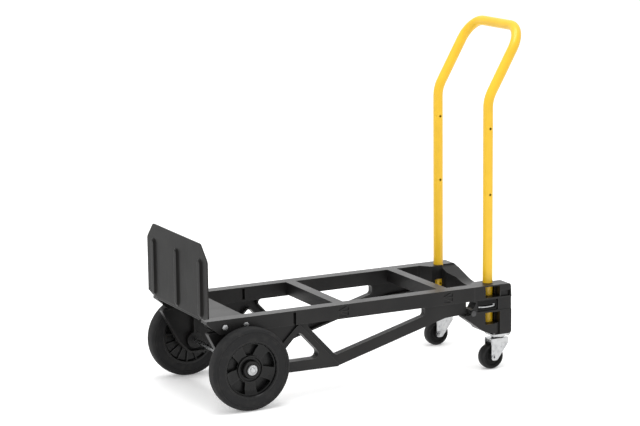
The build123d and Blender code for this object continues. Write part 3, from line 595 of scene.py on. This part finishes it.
# %% The plate with its beads
TOE_LOW, TOE_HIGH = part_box("toe_plate")
STEEL, BEAD_HEIGHT = 3.0 * MM, 4.5 * MM
PLATE_FACE_X = TOE_LOW.x + BEAD_HEIGHT
SEAM_Z = 226.0 * MM
FACE_HEIGHT = 184.0 * MM
PLATE_CORNER, PLATE_FOOT, FOOT_HALF = 38.0 * MM, 11.0 * MM, 141.0 * MM
CORNER_NIP = 1.5 * MM
LOW_TILT, STEEP_TILT = math.radians(22.5), math.radians(67.5)
BEAD_Y = (-140.0 * MM, 0.0, 140.0 * MM)
BEAD_HALF, BEAD_FOOT_Z, BEAD_TOP_Z, BEAD_ROUND = 13.0 * MM, 228.0 * MM, 372.0 * MM, 11.0 * MM
BEAD_SLOPE, BEAD_LEVELS = 6.0 * MM, 10
GRID_ACROSS, GRID_UP = 260, 84


def inside_bead(point, inset):
    """Whether a point of the sheet lies within a bead's outline drawn in by the inset."""
    half_height = (BEAD_TOP_Z - BEAD_FOOT_Z) / 2
    up = abs(point.z - (BEAD_TOP_Z + BEAD_FOOT_Z) / 2) - (half_height - BEAD_ROUND)
    across = min(abs(point.y - y) for y in BEAD_Y) - (BEAD_HALF - BEAD_ROUND)
    distance = math.hypot(max(up, 0.0), max(across, 0.0)) + min(max(up, across), 0.0)
    return distance < BEAD_ROUND - inset


def smooth_step(share):
    """Rises from 0 to 1 with no sharp start or end."""
    return share * share * (3 - 2 * share)


def pressed_sheet():
    """The flat sheet with its three beads moved out of it, level by level."""
    width, height = TOE_HIGH.y - TOE_LOW.y, TOE_HIGH.z - SEAM_Z
    start_clean()
    bpy.ops.mesh.primitive_grid_add(
        x_subdivisions=GRID_ACROSS, y_subdivisions=GRID_UP, size=1.0,
        location=(PLATE_FACE_X, 0, SEAM_Z + height / 2), rotation=(math.pi / 2, 0, -math.pi / 2))
    sheet = bpy.context.object
    sheet.name = "toe_sheet"
    sheet.scale = (width, height, 1)
    pick(sheet)
    bpy.ops.object.transform_apply(location=True, rotation=True, scale=True)
    bpy.ops.object.mode_set(mode="EDIT")
    for level in range(BEAD_LEVELS):
        low, high = level / BEAD_LEVELS, (level + 1) / BEAD_LEVELS
        choose_corners(sheet, lambda corner: inside_bead(corner.co, BEAD_SLOPE * (low + high) / 2))
        rise = BEAD_HEIGHT * (smooth_step(high) - smooth_step(low))
        bpy.ops.transform.translate(value=(-rise, 0, 0))
    bpy.ops.object.mode_set(mode="OBJECT")
    return sheet


def trim_outline(sheet):
    """Cuts off the two upper corners, nips the angles that leaves, and slopes the foot inwards."""
    half, top = TOE_HIGH.y, TOE_HIGH.z
    for side in SIDES.values():
        cut_away(sheet, (0, side * (half - PLATE_CORNER), top), (0, side, 1))
        upper_nip = (half - PLATE_CORNER, top - CORNER_NIP, LOW_TILT)
        lower_nip = (half - CORNER_NIP, top - PLATE_CORNER, STEEP_TILT)
        for across, height, tilt in (upper_nip, lower_nip):
            cut_away(sheet, (0, side * across, height), (0, side * math.sin(tilt), math.cos(tilt)))
        foot = (0, side * half, top - FACE_HEIGHT + PLATE_FOOT)
        cut_away(sheet, foot, (0, side * PLATE_FOOT, FOOT_HALF - half))


sheet = pressed_sheet()
trim_outline(sheet)
modify(sheet, "SOLIDIFY", thickness=STEEL, offset=-1.0, use_even_offset=False)
soften(sheet, 0.7 * MM, 2, 60)
bpy.ops.object.shade_smooth_by_angle(angle=math.radians(50))

flange = softened("toe_plate", "toe_flange", 0.9 * MM)
cut_away(flange, (0, 0, SEAM_Z), (0, 0, 1), fill=True)
pick(sheet)
flange.select_set(True)
bpy.ops.object.join()
sheet.name = "pressed_toe_plate"
finish_piece(sheet, "frame", TOE_PAINT, "toe_steel", "toe_plate")

# %% [markdown]
# ## The lock springs
# A spring sits between each lock pin's collar and the end of its chamber. When the pin is pulled, the
# collar comes towards that end and the coil closes up between them. Here each coil is a softened copy of
# the model's spring that stays on the frame, with a mesh of its own.

# %% Softened springs on the frame
for side, sign in SIDES.items():
    node = f"lock_spring_{side}"
    coil = softened(node, f"closing_spring_{side}", 0.02 * MM, 1, 80)
    finish_piece(coil, "frame", ZINC, "spring_steel", node)
    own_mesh(coil)

# %% [markdown]
# ## Finishes for the parts that stay as they are
# The handle's tube and the locks' wires are round and smooth in the model. Screws, nuts, washers, pins,
# bushes and plugs are small or hidden. All of these keep the model's mesh and only need a finish.

# %% Paint what stays
KEPT_FINISHES = {
    "zinc_plate": ZINC, "axle_steel": AXLE_STEEL, "spring_steel": ZINC, "bush_nylon": BUSH_NYLON,
    "frame_plastic": FRAME_PLASTIC, "toe_steel": TOE_PAINT, "tyre_rubber": TYRE_RUBBER,
    "hub_plastic": HUB_PLASTIC, "caster_rubber": CASTER_RUBBER, "caster_plastic": SMALL_PLASTIC,
    "handle_paint": HANDLE_PAINT, "plug_plastic": SMALL_PLASTIC, "dark_steel": DARK_STEEL,
}
for subpart in frame["record"]["subparts"]:
    paint(NODES[subpart["node"]], KEPT_FINISHES[subpart["material_slot"]])
